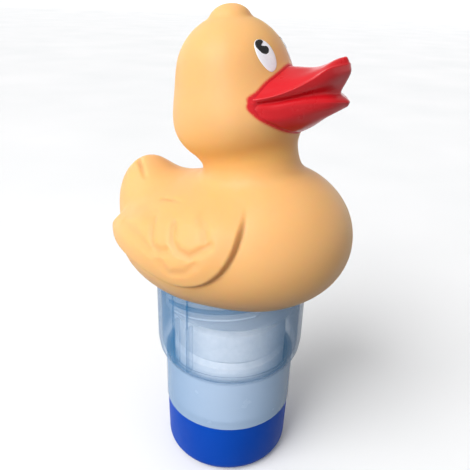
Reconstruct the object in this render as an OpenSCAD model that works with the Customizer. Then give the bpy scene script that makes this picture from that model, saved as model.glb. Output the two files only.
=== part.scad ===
// Floating chlorine dispenser: a hollow duck float that screws onto a translucent
// tablet canister with a rotary flow cap. Millimetres, +Z up, the duck faces +X.
// The origin is the centre of the cap's resting face, on the canister's axis.

/* [Canister] */
// Outer diameter of the lower tube
tube_d = 88; // [86:1:92]
// Outer diameter of the wider collar that enters the duck
collar_d = 98; // [97:1:102]
// Wall thickness of the canister
wall = 2.5; // [2:0.25:3]
// Height of the collar's lower edge above the resting face
collar_z = 82; // [78:1:90]
// Height of the canister's rim
rim_z = 146; // [142:1:148]
// Number of guide channels inside the collar
guide_count = 3; // [2:1:6]

/* [Flow cap] */
// Height of the blue cap
cap_h = 40; // [34:1:44]
// Outer diameter of the cap
cap_d = 87; // [86:0.5:88]
// Radius of the cap's rounded bottom edge
cap_edge_r = 8; // [4:1:9]
// Number of water slots in the cap and in the canister's floor
slot_count = 4; // [4:1:4]
// Width of each water slot
slot_w = 10; // [8:1:11]

/* [Tablets] */
// Diameter of a chlorine tablet
tablet_d = 76; // [70:1:76]
// Thickness of a chlorine tablet
tablet_h = 25; // [20:1:25]

/* [Screw joint] */
// Rise of the duck in one full turn
thread_lead = 36; // [30:3:36]
// Number of thread starts
thread_starts = 3; // [2:1:3]
// Height of the socket's skirt below the canister's rim
skirt_depth = 27; // [26:1:28]

/* [Duck] */
// Length of the body, without the tail
body_l = 143; // [140:1:148]
// Width of the body, without the wings
body_w = 122; // [118:1:126]
// Height of the body
body_h = 80; // [78:1:84]
// Wall thickness of the moulded shell
shell_wall = 2.5; // [2:0.25:3]
// How far the wings stand off the body
wing_t = 4.5; // [3:0.5:5]
// Backward tilt of the head
head_tilt = 9; // [4:1:12]
// Width of the head across the cheeks
head_w = 76; // [72:1:78]

/* [Hidden] */

$fn = 96;
// Running gap between curved faces of parts that move on each other
gap = 0.3;
// Small overshoot that lets a cutter pass through a face
over = 1;

tube_r = tube_d / 2;
collar_r = collar_d / 2;
collar_bore_r = collar_r - wall;

// Flow cap and the canister's foot inside it
cap_r = cap_d / 2;
cap_wall = 2;
cap_floor = 3;
cap_draft = 0.8;
cap_bore_r = cap_r - cap_draft - cap_wall;
foot_r = cap_bore_r - gap;
foot_wall = 1.8;
foot_bore_r = foot_r - foot_wall;
floor_z = cap_floor + gap;
floor_t = 3;
floor_top = floor_z + floor_t;
pivot_r = 4;
pivot_gap = 0.08;
washer_t = 0.8;
clip_t = 1.2;
pivot_top = floor_top + washer_t + clip_t + 1.5;
rest_rib_h = 6.7;
rest_rib_t = 2;
rest_z = floor_top + rest_rib_h;
slot_in = 16;
slot_out = 35;
guide_t = 2.4;
guide_half_angle = 8;
guide_turn = 13;
shut_angle = 180 / slot_count;
stop_r = 9.5;
stop_pin_r = 1.1;
o_ring_z = 30;
o_ring_t = 0.5;
o_ring_gap = 0.15;

// Screw joint
skirt_r = 44.5;
skirt_wall = 2.5;
skirt_z = rim_z - skirt_depth;
seal_t = 2;
plate_t = 3;
plate_z = rim_z + seal_t;
gasket_t = 1.5;
gasket_z = plate_z + plate_t;
ledge_t = 2.5;
ledge_z = gasket_z + gasket_t;
ring_t = 4;
ring_z = ledge_z + ledge_t;
recess_r = collar_r + 0.4;
pocket_r = recess_r + shell_wall;
// Line of glue round the pocket
bond_gap = 0.05;
ledge_bore_r = 33;
screw_circle_r = 38;
screw_count = 6;
screw_r = 1.5;
screw_hole_r = 1.6;
screw_head_r = 3;
screw_head_h = 2.2;
plug_r = 6;
thread_h = 3;
thread_reach = 1.6;
thread_turn = 80;
pitch = thread_lead / thread_starts;
socket_thread_z = skirt_z + 3.5;
canister_thread_z = socket_thread_z + pitch / 2;

// Duck: centres and half sizes of the large forms
body = [-3, 0, 162];
body_r = [body_l, body_w, body_h] / 2;
breast = [23, 0, 172.5];
breast_r = [body_r.x - 21, body_r.y - 11, body_r.z + 1];
rump = [-36, 0, 172];
rump_r = [34, 38, 30];
tail = [-63, 0, 186];
tail_r = [13, 17, 20];
neck = [4, 0, 210];
throat = [11, 0, 212];
throat_r = [28, 28, 22];
cheek = [6, 0, 238];
cheek_r = [head_w / 2, head_w / 2, 28];
crown = [5, 0, 260];
crown_r = [cheek_r.x - 5.5, cheek_r.y - 5.5, 33];
crest = [6.5, 0, 288.5];
crest_r = [12, 11.5, 9];
eye_azimuth = 33;
eye_elevation = 19;
// Room round each eye in its socket
eye_gap = 0.12;
fine = 44;
coarse = 20;

// ---------------------------------------------------------------- helpers

// Ring with a rectangular section
module ring(outer, inner, z, h) {
    translate([0, 0, z])
        difference() {
            cylinder(r = outer, h = h);
            translate([0, 0, -over]) cylinder(r = inner, h = h + 2 * over);
        }
}

// Ellipsoid with its three half sizes, each reduced by inset
module ovoid(centre, radii, inset = 0, lean = 0, facets = fine) {
    translate(centre)
        rotate([0, lean, 0])
            scale([radii.x - inset, radii.y - inset, radii.z - inset])
                sphere(r = 1, $fn = facets);
}

// One screw-thread ridge: a swept quadrilateral that rises by lead in a full turn.
// It stands on root_r and reaches to tip_r, outward or inward.
module ridge(root_r, tip_r, z, turn, lead) {
    steps = 16;
    flank = 0.7;
    half = thread_h / 2;
    section = [[root_r, -half], [tip_r, -half + flank], [tip_r, half - flank], [root_r, half]];
    order = tip_r > root_r ? [for (i = [3:-1:0]) section[i]] : section;
    points = [
        for (i = [0:steps], p = order)
            let (a = turn * i / steps)
            [p.x * cos(a), p.x * sin(a), z + p.y + lead * a / 360]
    ];
    sides = [
        for (i = [0:steps - 1], j = [0:3], upper = [0, 1])
            let (k = (j + 1) % 4, a = 4 * i + j, b = 4 * i + 4 + j, c = 4 * i + 4 + k, d = 4 * i + k)
            upper ? [a, b, c] : [a, c, d]
    ];
    last = 4 * steps;
    ends = [[0, 1, 2, 3], [last + 3, last + 2, last + 1, last]];
    polyhedron(points = points, faces = concat(sides, ends), convexity = 4);
}

// Water slots through a floor, centred on the X and Y axes
module slots(z, h) {
    for (i = [0:slot_count - 1])
        rotate([0, 0, i * 360 / slot_count])
            translate([0, 0, z]) {
                translate([slot_in + slot_w / 2, -slot_w / 2, 0])
                    cube([slot_out - slot_in - slot_w, slot_w, h]);
                for (x = [slot_in + slot_w / 2, slot_out - slot_w / 2])
                    translate([x, 0, 0]) cylinder(r = slot_w / 2, h = h);
            }
}

// ---------------------------------------------------------------- flow cap

// Outline of the cap: rounded bottom edge, slightly wider towards its rim
module cap_profile() {
    foot = cap_r - cap_draft;
    difference() {
        union() {
            translate([0, 0]) square([foot - cap_edge_r, cap_edge_r]);
            translate([foot - cap_edge_r, cap_edge_r])
                intersection() {
                    circle(r = cap_edge_r);
                    translate([0, -cap_edge_r]) square(cap_edge_r);
                }
            polygon([[0, cap_edge_r], [foot, cap_edge_r], [cap_r, cap_h - 0.6],
                     [cap_r - 0.6, cap_h], [0, cap_h]]);
        }
        polygon([[0, cap_floor], [cap_bore_r - 5, cap_floor], [cap_bore_r, cap_floor + 6],
                 [cap_bore_r, cap_h + over], [0, cap_h + over]]);
    }
}

module flow_cap() {
    color("mediumblue") {
        difference() {
            rotate_extrude() cap_profile();
            slots(-over, cap_floor + 2 * over);
        }
        translate([0, 0, cap_floor - over]) cylinder(r = pivot_r, h = pivot_top - cap_floor + over);
        rotate([0, 0, shut_angle / 2])
            translate([stop_r, 0, cap_floor - over]) cylinder(r = stop_pin_r, h = 1.8 + over);
    }
}

module pivot_washer() {
    color("whitesmoke") ring(8, pivot_r + 0.1, floor_top, washer_t);
}

module pivot_clip() {
    color("silver") ring(7, pivot_r, floor_top + washer_t, clip_t);
}

// ---------------------------------------------------------------- canister

// Outline of the moulded wall: foot, tube, stepped collar and rim
module canister_profile() {
    step = collar_r - tube_r;
    difference() {
        polygon([
            [0, floor_z], [foot_r - 5, floor_z], [foot_r, floor_z + 6],
            [foot_r, cap_h + gap], [tube_r, cap_h + gap],
            [tube_r, collar_z - 1.5], [tube_r + step * 0.6, collar_z],
            [collar_r - 0.8, collar_z + 3], [collar_r, collar_z + 9],
            [collar_r, rim_z], [0, rim_z]
        ]);
        polygon([
            [0, floor_top], [foot_bore_r - 4, floor_top], [foot_bore_r, floor_top + 4],
            [foot_bore_r, cap_h + gap], [tube_r - wall, cap_h + wall + 2],
            [tube_r - wall, collar_z], [collar_bore_r, collar_z + 4],
            [collar_bore_r, rim_z + over], [0, rim_z + over]
        ]);
    }
}

// Groove for the ring that holds the cap's setting
module o_ring_groove() {
    groove_r = foot_r + gap - o_ring_gap - o_ring_t;
    rotate_extrude() translate([groove_r, o_ring_z]) circle(r = o_ring_t, $fn = 24);
}

// Pairs of vertical ribs that keep the tablets in line inside the collar
module guide_ribs() {
    rib_in = tube_r - wall + gap;
    for (i = [0:guide_count - 1], side = [-1, 1])
        rotate([0, 0, guide_turn + side * guide_half_angle + i * 360 / guide_count])
            translate([rib_in, -guide_t / 2, collar_z])
                cube([collar_bore_r - rib_in + 0.6, guide_t, skirt_z - collar_z - 3]);
}

// Radial ribs that hold the lowest tablet clear of the water slots
module rest_ribs() {
    for (i = [0:slot_count - 1])
        rotate([0, 0, (i + 0.5) * 360 / slot_count])
            translate([12, -rest_rib_t / 2, floor_top - 0.5])
                cube([foot_bore_r - 15, rest_rib_t, rest_rib_h + 0.5]);
}

module canister() {
    color("lightsteelblue", 0.6) {
        difference() {
            union() {
                rotate_extrude() canister_profile();
                guide_ribs();
                rest_ribs();
            }
            slots(floor_z - over, floor_t + 2 * over);
            o_ring_groove();
            translate([0, 0, floor_z - over])
                cylinder(r = pivot_r + pivot_gap, h = floor_t + 2 * over);
            // Arc groove that stops the cap at open and shut
            translate([0, 0, floor_z - over])
                rotate([0, 0, shut_angle / 2 - 8])
                    rotate_extrude(angle = shut_angle + 16)
                        translate([stop_r - stop_pin_r - gap, 0])
                            square([2 * (stop_pin_r + gap), 2 + over]);
        }
        for (i = [0:thread_starts - 1])
            rotate([0, 0, i * 360 / thread_starts])
                ridge(collar_bore_r + 0.4, collar_bore_r - thread_reach,
                      canister_thread_z, thread_turn, thread_lead);
    }
}

module cap_o_ring() {
    ring_r = foot_r + gap - o_ring_gap - o_ring_t;
    color("white")
        rotate_extrude() translate([ring_r, o_ring_z]) circle(r = o_ring_t, $fn = 24);
}

// ---------------------------------------------------------------- tablets

module tablet(index) {
    edge = 3;
    r = tablet_d / 2;
    color("white")
        translate([0, 0, rest_z + index * tablet_h])
            rotate_extrude()
                polygon([[0, 0], [r - edge, 0], [r, edge], [r, tablet_h - edge],
                         [r - edge, tablet_h], [0, tablet_h]]);
}

// ---------------------------------------------------------------- socket

module rim_seal() {
    color("gainsboro") ring(collar_r - 0.3, skirt_r + gap, rim_z + 0.1, seal_t - 0.2);
}

module screw_places() {
    for (i = [0:screw_count - 1])
        rotate([0, 0, (i + 0.5) * 360 / screw_count])
            translate([screw_circle_r, 0, 0]) children();
}

// Plate that closes the float, with the threaded skirt below it
module belly_socket() {
    color("lightblue") {
        difference() {
            union() {
                translate([0, 0, plate_z]) cylinder(r = collar_r, h = plate_t);
                ring(skirt_r, skirt_r - skirt_wall, skirt_z, plate_z - skirt_z + 0.5);
            }
            translate([0, 0, plate_z - over]) cylinder(r = plug_r, h = plate_t + 2 * over);
            screw_places()
                translate([0, 0, plate_z - over]) cylinder(r = screw_r, h = plate_t + 2 * over, $fn = 24);
        }
        for (i = [0:thread_starts - 1])
            rotate([0, 0, i * 360 / thread_starts])
                ridge(skirt_r - 0.4, skirt_r + thread_reach,
                      socket_thread_z, thread_turn, thread_lead);
    }
}

module belly_gasket() {
    color("dimgray")
        difference() {
            ring(collar_r, ledge_bore_r, gasket_z, gasket_t);
            screw_places()
                translate([0, 0, gasket_z - over]) cylinder(r = screw_r, h = gasket_t + 2 * over, $fn = 24);
        }
}

// Ring inside the float that the socket's screws pull against
module clamp_ring() {
    color("white")
        difference() {
            ring(screw_circle_r + 5.5, ledge_bore_r, ring_z, ring_t);
            screw_places()
                translate([0, 0, ring_z - over]) cylinder(r = screw_r, h = ring_t + 2 * over, $fn = 24);
        }
}

module clamp_screws() {
    color("silver")
        screw_places() {
            translate([0, 0, plate_z - screw_head_h])
                cylinder(r = screw_head_r, h = screw_head_h, $fn = 24);
            translate([0, 0, plate_z - 0.1])
                cylinder(r = screw_r, h = ring_z + ring_t - plate_z + 1.1, $fn = 24);
        }
}

module air_plug() {
    color("white") {
        translate([0, 0, plate_z - 1.5]) cylinder(r = plug_r + 2, h = 1.5);
        translate([0, 0, plate_z - 0.1]) cylinder(r = plug_r, h = plate_t + 3);
    }
}

// ---------------------------------------------------------------- duck

module in_head() {
    translate(neck) rotate([0, -head_tilt, 0]) translate(-neck) children();
}

module trunk(inset, facets) {
    hull() {
        ovoid(body, body_r, inset, 0, facets);
        ovoid(breast, breast_r, inset, 0, facets);
    }
    hull() {
        ovoid(rump, rump_r, inset, 0, facets);
        ovoid(tail, tail_r, inset, 20, facets);
    }
}

module head(inset, facets) {
    in_head() {
        hull() {
            ovoid(cheek, cheek_r, inset, 0, facets);
            ovoid(crown, crown_r, inset, 0, facets);
        }
        hull() {
            ovoid(throat, throat_r, inset, 0, facets);
            ovoid(cheek - [0, 0, 6], [cheek_r.x - 3, cheek_r.y - 3, 20], inset, 0, facets);
        }
        ovoid(crest, crest_r, inset, 0, facets);
    }
}

// Wings: the body's own form, thickened, inside a leaf-shaped outline
module wings() {
    intersection() {
        ovoid(body, body_r, -wing_t, 0, fine);
        for (side = [-1, 1])
            translate([0, side * (body_r.y + 8), 0])
                rotate([90, 0, 0])
                    linear_extrude(height = 2 * body_r.y - 60, center = true)
                        hull() {
                            translate([6, 180]) circle(r = 18, $fn = coarse);
                            translate([-6, 176]) circle(r = 20, $fn = coarse);
                            translate([-60, 173]) circle(r = 7, $fn = coarse);
                        }
    }
}

// Pocket in the belly that takes the canister's collar, bonded into the shell
module belly_pocket() {
    color("navajowhite")
        difference() {
            intersection() {
                trunk(0, fine);
                cylinder(r = pocket_r, h = ring_z);
            }
            cylinder(r = recess_r, h = ledge_z);
            cylinder(r = ledge_bore_r, h = ring_z + over);
            screw_places() cylinder(r = screw_hole_r, h = ring_z + over, $fn = 16);
        }
}

module duck_shell() {
    color("navajowhite")
        difference() {
            union() {
                trunk(0, fine);
                head(0, fine);
                wings();
            }
            trunk(shell_wall, coarse);
            head(shell_wall, coarse);
            cylinder(r = pocket_r + bond_gap, h = ring_z);
            bill_form();
            for (side = [-1, 1]) {
                eye_white_form(side, eye_gap);
                pupil_form(side, eye_gap);
            }
        }
}

// Bill: an upper mandible that curls up at its tip, and a shorter lower one
module bill_form() {
    hull() {
        for (side = [-1, 1]) {
            translate([19, side * 23, 253]) sphere(r = 5, $fn = coarse);
            translate([27, side * 9, 263]) sphere(r = 6, $fn = coarse);
        }
        ovoid([48, 0, 261], [10, 18, 7.5], 0, -22, coarse);
    }
    hull() {
        ovoid([46, 0, 261], [10, 18, 7], 0, -22, coarse);
        ovoid([57, 0, 267], [7, 15, 6], 0, -30, coarse);
    }
    hull() {
        for (side = [-1, 1]) {
            translate([20, side * 23, 251]) sphere(r = 5, $fn = coarse);
            translate([27, side * 9, 241]) sphere(r = 6, $fn = coarse);
        }
        ovoid([54, 0, 250], [9.5, 14, 4.5], 0, -14, coarse);
    }
}

module bill() {
    color("crimson") bill_form();
}

// Places children on the crown's surface, turned to face outward
module on_crown(azimuth, elevation, radius) {
    in_head()
        translate(crown)
            rotate([0, -elevation, azimuth])
                translate([radius, 0, 0]) children();
}

// Each eye: an upright oval set into the head, with a pupil in its upper part
module eye_white_form(side, room = 0) {
    on_crown(side * eye_azimuth, eye_elevation, crown_r.x - 1.4)
        hull() ovoid([0, 0, 0], [2.6, 5.2, 9.2], -room, 0, coarse);
}

module pupil_form(side, room = 0) {
    on_crown(side * (eye_azimuth - 1), eye_elevation + 6.5, crown_r.x - 0.7)
        hull() ovoid([0, 0, 0], [2.4, 3.7, 4.6], -room, 0, coarse);
}

module eye_white(side) {
    color("white")
        difference() {
            eye_white_form(side);
            pupil_form(side, eye_gap);
        }
}

module pupil(side) {
    color("black") pupil_form(side);
}

// ---------------------------------------------------------------- nodes

flow_cap();
pivot_washer();
pivot_clip();
canister();
cap_o_ring();
tablet(0);  // tablet_1
tablet(1);  // tablet_2
tablet(2);  // tablet_3
tablet(3);  // tablet_4
rim_seal();
belly_socket();
belly_gasket();
clamp_ring();
clamp_screws();
air_plug();
duck_shell();
belly_pocket();
bill();
eye_white(-1);  // right_eye_white
eye_white(1);  // left_eye_white
pupil(-1);  // right_pupil
pupil(1);  // left_pupil
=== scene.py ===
# Floating chlorine dispenser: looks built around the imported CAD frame.
# Shapes are worked out in millimetres in the part's own frame, and turned into metres
# when each object is made. The duck faces +X and the canister stands on Z = 0.
import math
import bmesh
import bpy
import numpy as np
from mathutils import Matrix, Vector
from mathutils.bvhtree import BVHTree


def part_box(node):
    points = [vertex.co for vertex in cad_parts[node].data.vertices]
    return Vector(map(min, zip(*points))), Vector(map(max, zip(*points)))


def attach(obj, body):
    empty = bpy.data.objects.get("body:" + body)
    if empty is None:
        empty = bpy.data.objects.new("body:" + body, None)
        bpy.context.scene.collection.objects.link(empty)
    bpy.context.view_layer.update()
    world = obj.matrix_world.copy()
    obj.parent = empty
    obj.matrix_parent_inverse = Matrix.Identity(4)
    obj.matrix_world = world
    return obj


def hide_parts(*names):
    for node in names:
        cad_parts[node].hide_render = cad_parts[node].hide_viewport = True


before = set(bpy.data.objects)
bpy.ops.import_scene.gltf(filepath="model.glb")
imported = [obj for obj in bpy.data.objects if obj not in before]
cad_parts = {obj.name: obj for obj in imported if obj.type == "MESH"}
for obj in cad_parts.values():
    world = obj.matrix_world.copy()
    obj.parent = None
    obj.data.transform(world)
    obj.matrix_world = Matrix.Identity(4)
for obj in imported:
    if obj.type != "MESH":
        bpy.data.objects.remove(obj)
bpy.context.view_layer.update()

MM = 0.001


def box_mm(node):
    """The low and high corners of a CAD node's box, in millimetres."""
    low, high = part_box(node)
    return np.array(low) / MM, np.array(high) / MM


# ------------------------------------------------------------------ sizes from the frame

can_low, can_high = box_mm("canister")
cap_high = box_mm("flow_cap")[1]
tab_low, tab_high = box_mm("tablet_1")
sock_low, sock_high = box_mm("belly_socket")
ring_low = box_mm("clamp_ring")[0]
shell_low, shell_high = box_mm("duck_shell")

COLLAR_R = round(can_high[0], 1)
RIM_Z = round(can_high[2], 1)
FLOOR_Z = round(can_low[2], 1)
CAP_R = round(cap_high[0], 1)
CAP_H = 40.0
TABLET_R = round(tab_high[0], 1)
TABLET_H = round(tab_high[2] - tab_low[2], 1)
TABLET_Z = round(tab_low[2], 1)
SKIRT_Z = round(sock_low[2], 1)
PLATE_TOP = round(sock_high[2], 1)
LEDGE_Z = round(ring_low[2], 1) - 2.5

# Sizes that the boxes don't give, as in the part's source
TUBE_R = 44.0
WALL = 2.5
COLLAR_Z = 82.0
GAP = 0.3
CAP_FLOOR = 3.0
PIVOT_R = 4.0
PIVOT_TOP = 10.3
THREAD_LEAD = 36.0
THREAD_STARTS = 3
THREAD_TURN = 80
THREAD_H = 3.0
COLLAR_BORE_R = COLLAR_R - WALL
TUBE_BORE_R = TUBE_R - WALL
POCKET_R = COLLAR_R + 0.4


# ------------------------------------------------------------------ mesh helpers

def new_object(name, verts, faces, smooth=True):
    """An object from corners in millimetres and faces as rows of corner numbers."""
    mesh = bpy.data.meshes.new(name)
    mesh.from_pydata([tuple(v) for v in np.asarray(verts) * MM], [], [tuple(f) for f in faces])
    mesh.validate()
    mesh.update()
    if smooth:
        mesh.polygons.foreach_set("use_smooth", [True] * len(mesh.polygons))
    obj = bpy.data.objects.new(name, mesh)
    bpy.context.scene.collection.objects.link(obj)
    return obj


def smooth_by_angle(obj, degrees=35):
    """Shades smooth, and keeps edges sharper than the angle."""
    with bpy.context.temp_override(object=obj, active_object=obj, selected_objects=[obj],
                                   selected_editable_objects=[obj]):
        bpy.ops.object.shade_smooth_by_angle(angle=math.radians(degrees))


def apply_modifiers(obj):
    """Swaps the mesh for its modified one."""
    graph = bpy.context.evaluated_depsgraph_get()
    mesh = bpy.data.meshes.new_from_object(obj.evaluated_get(graph))
    old = obj.data
    obj.modifiers.clear()
    obj.data = mesh
    mesh.name = old.name
    bpy.data.meshes.remove(old)


def subdivide(obj, levels):
    """Smooths the mesh by splitting its faces."""
    mod = obj.modifiers.new("smooth", "SUBSURF")
    mod.levels = levels
    mod.render_levels = levels
    apply_modifiers(obj)


def cut(obj, *cutters):
    """Takes each cutter away from the object, and deletes the cutters."""
    for cutter in cutters:
        mod = obj.modifiers.new("cut", "BOOLEAN")
        mod.operation = "DIFFERENCE"
        mod.solver = "EXACT"
        mod.object = cutter
    apply_modifiers(obj)
    for cutter in cutters:
        bpy.data.objects.remove(cutter, do_unlink=True)


def joined(name, objects):
    """One object from several, each a closed solid of its own."""
    with bpy.context.temp_override(active_object=objects[0], object=objects[0],
                                   selected_objects=objects, selected_editable_objects=objects):
        bpy.ops.object.join()
    objects[0].name = name
    objects[0].data.name = name
    return objects[0]


def filleted(corners, steps=6):
    """A closed outline of (r, z) points from corners (r, z, fillet radius)."""
    out = []
    count = len(corners)
    for i, (r, z, radius) in enumerate(corners):
        here = np.array([r, z], float)
        if radius <= 0:
            out.append(here)
            continue
        before = np.array(corners[i - 1][:2], float) - here
        after = np.array(corners[(i + 1) % count][:2], float) - here
        la, lb = np.linalg.norm(before), np.linalg.norm(after)
        ua, ub = before / la, after / lb
        half = math.acos(np.clip(ua @ ub, -1, 1)) / 2
        reach = min(radius / math.tan(half), 0.49 * la, 0.49 * lb)
        bow = reach * math.tan(half)
        middle = (ua + ub) / np.linalg.norm(ua + ub)
        centre = here + middle * bow / math.sin(half)
        start, end = here + ua * reach, here + ub * reach
        a0 = math.atan2(*(start - centre)[::-1])
        a1 = math.atan2(*(end - centre)[::-1])
        turn = (a1 - a0 + math.pi) % (2 * math.pi) - math.pi
        for k in range(steps + 1):
            a = a0 + turn * k / steps
            out.append(centre + bow * np.array([math.cos(a), math.sin(a)]))
    return np.array(out)


def lathe(name, corners, segments=144, steps=6):
    """Turns a closed outline of (r, z, fillet) corners about the Z axis."""
    outline = filleted(corners, steps)
    count = len(outline)
    verts, index = [], []
    for j in range(segments):
        a = 2 * math.pi * j / segments
        row = []
        for k, (r, z) in enumerate(outline):
            if r < 1e-6:
                if j == 0:
                    row.append(len(verts))
                    verts.append((0, 0, z))
                else:
                    row.append(index[0][k])
            else:
                row.append(len(verts))
                verts.append((r * math.cos(a), r * math.sin(a), z))
        index.append(row)
    faces = []
    for j in range(segments):
        a, b = index[j], index[(j + 1) % segments]
        for k in range(count):
            m = (k + 1) % count
            quad = [a[k], b[k], b[m], a[m]]
            face = [v for n, v in enumerate(quad) if v not in quad[:n]]
            if len(face) > 2:
                faces.append(face)
    obj = new_object(name, verts, faces)
    fix_normals(obj)
    smooth_by_angle(obj, 40)
    return obj


def fix_normals(obj):
    """Turns every face outward."""
    bm = bmesh.new()
    bm.from_mesh(obj.data)
    bmesh.ops.recalc_face_normals(bm, faces=bm.faces)
    bm.to_mesh(obj.data)
    bm.free()


def rounded_box(name, low, high, turn=0.0, bevel=0.5):
    """A box with bevelled edges, turned about Z by turn in radians."""
    low, high = np.array(low, float), np.array(high, float)
    corners = [[(low, high)[i][0], (low, high)[j][1], (low, high)[k][2]]
               for i in (0, 1) for j in (0, 1) for k in (0, 1)]
    c, s = math.cos(turn), math.sin(turn)
    verts = [(x * c - y * s, x * s + y * c, z) for x, y, z in corners]
    faces = [(0, 1, 3, 2), (4, 6, 7, 5), (0, 4, 5, 1), (2, 3, 7, 6), (0, 2, 6, 4), (1, 5, 7, 3)]
    obj = new_object(name, verts, faces)
    fix_normals(obj)
    if bevel:
        mod = obj.modifiers.new("edge", "BEVEL")
        mod.width = bevel * MM
        mod.segments = 3
        apply_modifiers(obj)
    smooth_by_angle(obj)
    return obj


def stadium(name, inner, outer, width, z0, z1, turn):
    """A slot cutter that runs along a radius, with round ends."""
    r = width / 2
    steps = 16
    outline = []
    for middle, start in ((outer - r, -math.pi / 2), (inner + r, math.pi / 2)):
        for k in range(steps + 1):
            a = start + math.pi * k / steps
            outline.append((middle + r * math.cos(a), r * math.sin(a)))
    c, s = math.cos(turn), math.sin(turn)
    count = len(outline)
    verts = [(x * c - y * s, x * s + y * c, z) for z in (z0, z1) for x, y in outline]
    faces = [tuple(range(count))[::-1], tuple(range(count, 2 * count))]
    faces += [(k, (k + 1) % count, count + (k + 1) % count, count + k) for k in range(count)]
    obj = new_object(name, verts, faces, smooth=False)
    fix_normals(obj)
    return obj


def thread_ridge(name, root_r, tip_r, z, start):
    """One start of the screw thread: a rounded ridge that rises as it turns."""
    half = THREAD_H / 2
    steps = 40
    turn = math.radians(THREAD_TURN)
    run_out = 0.08
    reach = tip_r - root_r
    section = [(0, -half), (0.55, -half * 0.8), (0.9, -half * 0.4), (1, 0),
               (0.9, half * 0.4), (0.55, half * 0.8), (0, half)]
    verts, count = [], len(section)
    for i in range(steps + 1):
        t = i / steps
        ease = min(1.0, min(t, 1 - t) / run_out)
        ease = ease * ease * (3 - 2 * ease)
        a = start + turn * t
        for u, v in section:
            r = root_r + reach * u * ease
            rise = THREAD_LEAD * (turn * t) / (2 * math.pi)
            verts.append((r * math.cos(a), r * math.sin(a), z + v + rise))
    faces = []
    for i in range(steps):
        for k in range(count):
            m = (k + 1) % count
            faces.append((i * count + k, (i + 1) * count + k, (i + 1) * count + m, i * count + m))
    faces.append(tuple(range(count)))
    faces.append(tuple(range(steps * count, (steps + 1) * count)))
    obj = new_object(name, verts, faces)
    fix_normals(obj)
    smooth_by_angle(obj, 50)
    return obj


# ------------------------------------------------------------------ the duck's form

def ovoid(p, centre, radii, lean=0.0):
    """Distance, near enough, to an ellipsoid. lean turns it about Y, in degrees."""
    q = p - np.array(centre, float)
    if lean:
        a = math.radians(lean)
        q = np.stack([q[:, 0] * math.cos(a) - q[:, 2] * math.sin(a), q[:, 1],
                      q[:, 0] * math.sin(a) + q[:, 2] * math.cos(a)], 1)
    radii = np.array(radii, float)
    a = q / radii
    b = a / radii
    k0 = np.sqrt((a * a).sum(1))
    k1 = np.sqrt((b * b).sum(1))
    return k0 * (k0 - 1) / np.maximum(k1, 1e-9)


def blend_union(a, b, k):
    """Both distances as one form, with a fillet about k wide where they meet."""
    h = np.clip(0.5 + 0.5 * (b - a) / k, 0, 1)
    return b * (1 - h) + a * h - k * h * (1 - h)


def ramp(low, high, x):
    """0 at low, 1 at high, and eased between."""
    t = np.clip((x - low) / (high - low), 0, 1)
    return t * t * (3 - 2 * t)


def groove(distance, width):
    """1 on a line, falling to 0 at width from it."""
    return np.exp(-(distance / width) ** 2)


def segment_distance(x, z, ax, az, bx, bz):
    """Distance to a straight piece, in the side view."""
    dx, dz = bx - ax, bz - az
    t = np.clip(((x - ax) * dx + (z - az) * dz) / (dx * dx + dz * dz), 0, 1)
    return np.hypot(x - ax - t * dx, z - az - t * dz)


def leaf_distance(x, z, ax, az, ra, bx, bz, rb):
    """Distance to a leaf: two circles and the straight edges that touch both."""
    dx, dz = bx - ax, bz - az
    length = math.hypot(dx, dz)
    ux, uz = dx / length, dz / length
    across = np.abs(-(x - ax) * uz + (z - az) * ux)
    along = (x - ax) * ux + (z - az) * uz
    sine = (ra - rb) / length
    cosine = math.sqrt(1 - sine * sine)
    k = -sine * across + cosine * along
    near = np.hypot(across, along) - ra
    far = np.hypot(across, along - length) - rb
    side = across * cosine + along * sine - ra
    return np.where(k < 0, near, np.where(k > cosine * length, far, side))


# The duck's large forms: centre and half sizes. Those of the head are as it is before its tilt.
BODY = ((-3, 0, 162), (71.5, 61, 40))
BREAST = ((23, 0, 172.5), (50, 50, 41))
TAIL = ((-64, 0, 185), (14.5, 17, 20))
TAIL_LEAN = 15
CHEEK = ((6, 0, 238), (38, 38, 28))
CROWN = ((5, 0, 260), (32.4, 32.4, 33))
THROAT = ((11, 0, 212), (27.6, 27.6, 22))
CREST = ((6.5, 0, 289), (12, 11.5, 8.8))
NECK = np.array([4.0, 0.0, 210.0])
HEAD_TILT = 9.0

# The wing from the side: a large circle in front and a small one at its tip, as (x, z, radius)
WING_FRONT = (-5.0, 187.3, 32.4)
WING_TIP = (-66.5, 167.5, 3.8)
WING_T = 4.2

# Shallow lines between the wing's feathers, from the side: depth, width, (x, z) points
FEATHERS = (
    (1.1, 2.4, ((-25.7, 186), (-22.8, 179.5), (-20, 175), (-15.6, 173.6), (-11.3, 175))),
    (1.1, 2.2, ((-10.3, 187), (-8.2, 180.2), (-3.1, 176.4), (3.5, 175), (9.7, 179),
                (13.6, 182.3))),
    (0.7, 2.4, ((-14, 168.5), (-7.3, 163.5), (2.3, 166.5), (7.5, 171.5))),
    (0.7, 2.6, ((3, 194), (8, 190), (11, 184))),
    (0.8, 2.8, ((-55, 184.5), (-38, 187), (-26, 186))),
    (0.8, 2.8, ((-50, 178), (-34, 176.5), (-22, 173))),
)


def line_distance(x, z, line):
    """Distance to a run of straight pieces, in the side view."""
    return np.min([segment_distance(x, z, *a, *b) for a, b in zip(line, line[1:])], axis=0)


def to_right(p):
    """The same points on the duck's right side, which is the one with Y below 0."""
    return np.stack([p[:, 0], -np.abs(p[:, 1]), p[:, 2]], 1)


def crease(p, a, b, depth, width):
    """A soft fold cut along the line from a to b, and mirrored on the other side."""
    q = to_right(p)
    a, b = np.array(a, float), np.array(b, float)
    t = np.clip(((q - a) @ (b - a)) / ((b - a) @ (b - a)), 0, 1)
    gap = np.linalg.norm(q - a - t[:, None] * (b - a), axis=1)
    return depth * groove(gap, width) * (1 - 0.7 * t)


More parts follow.
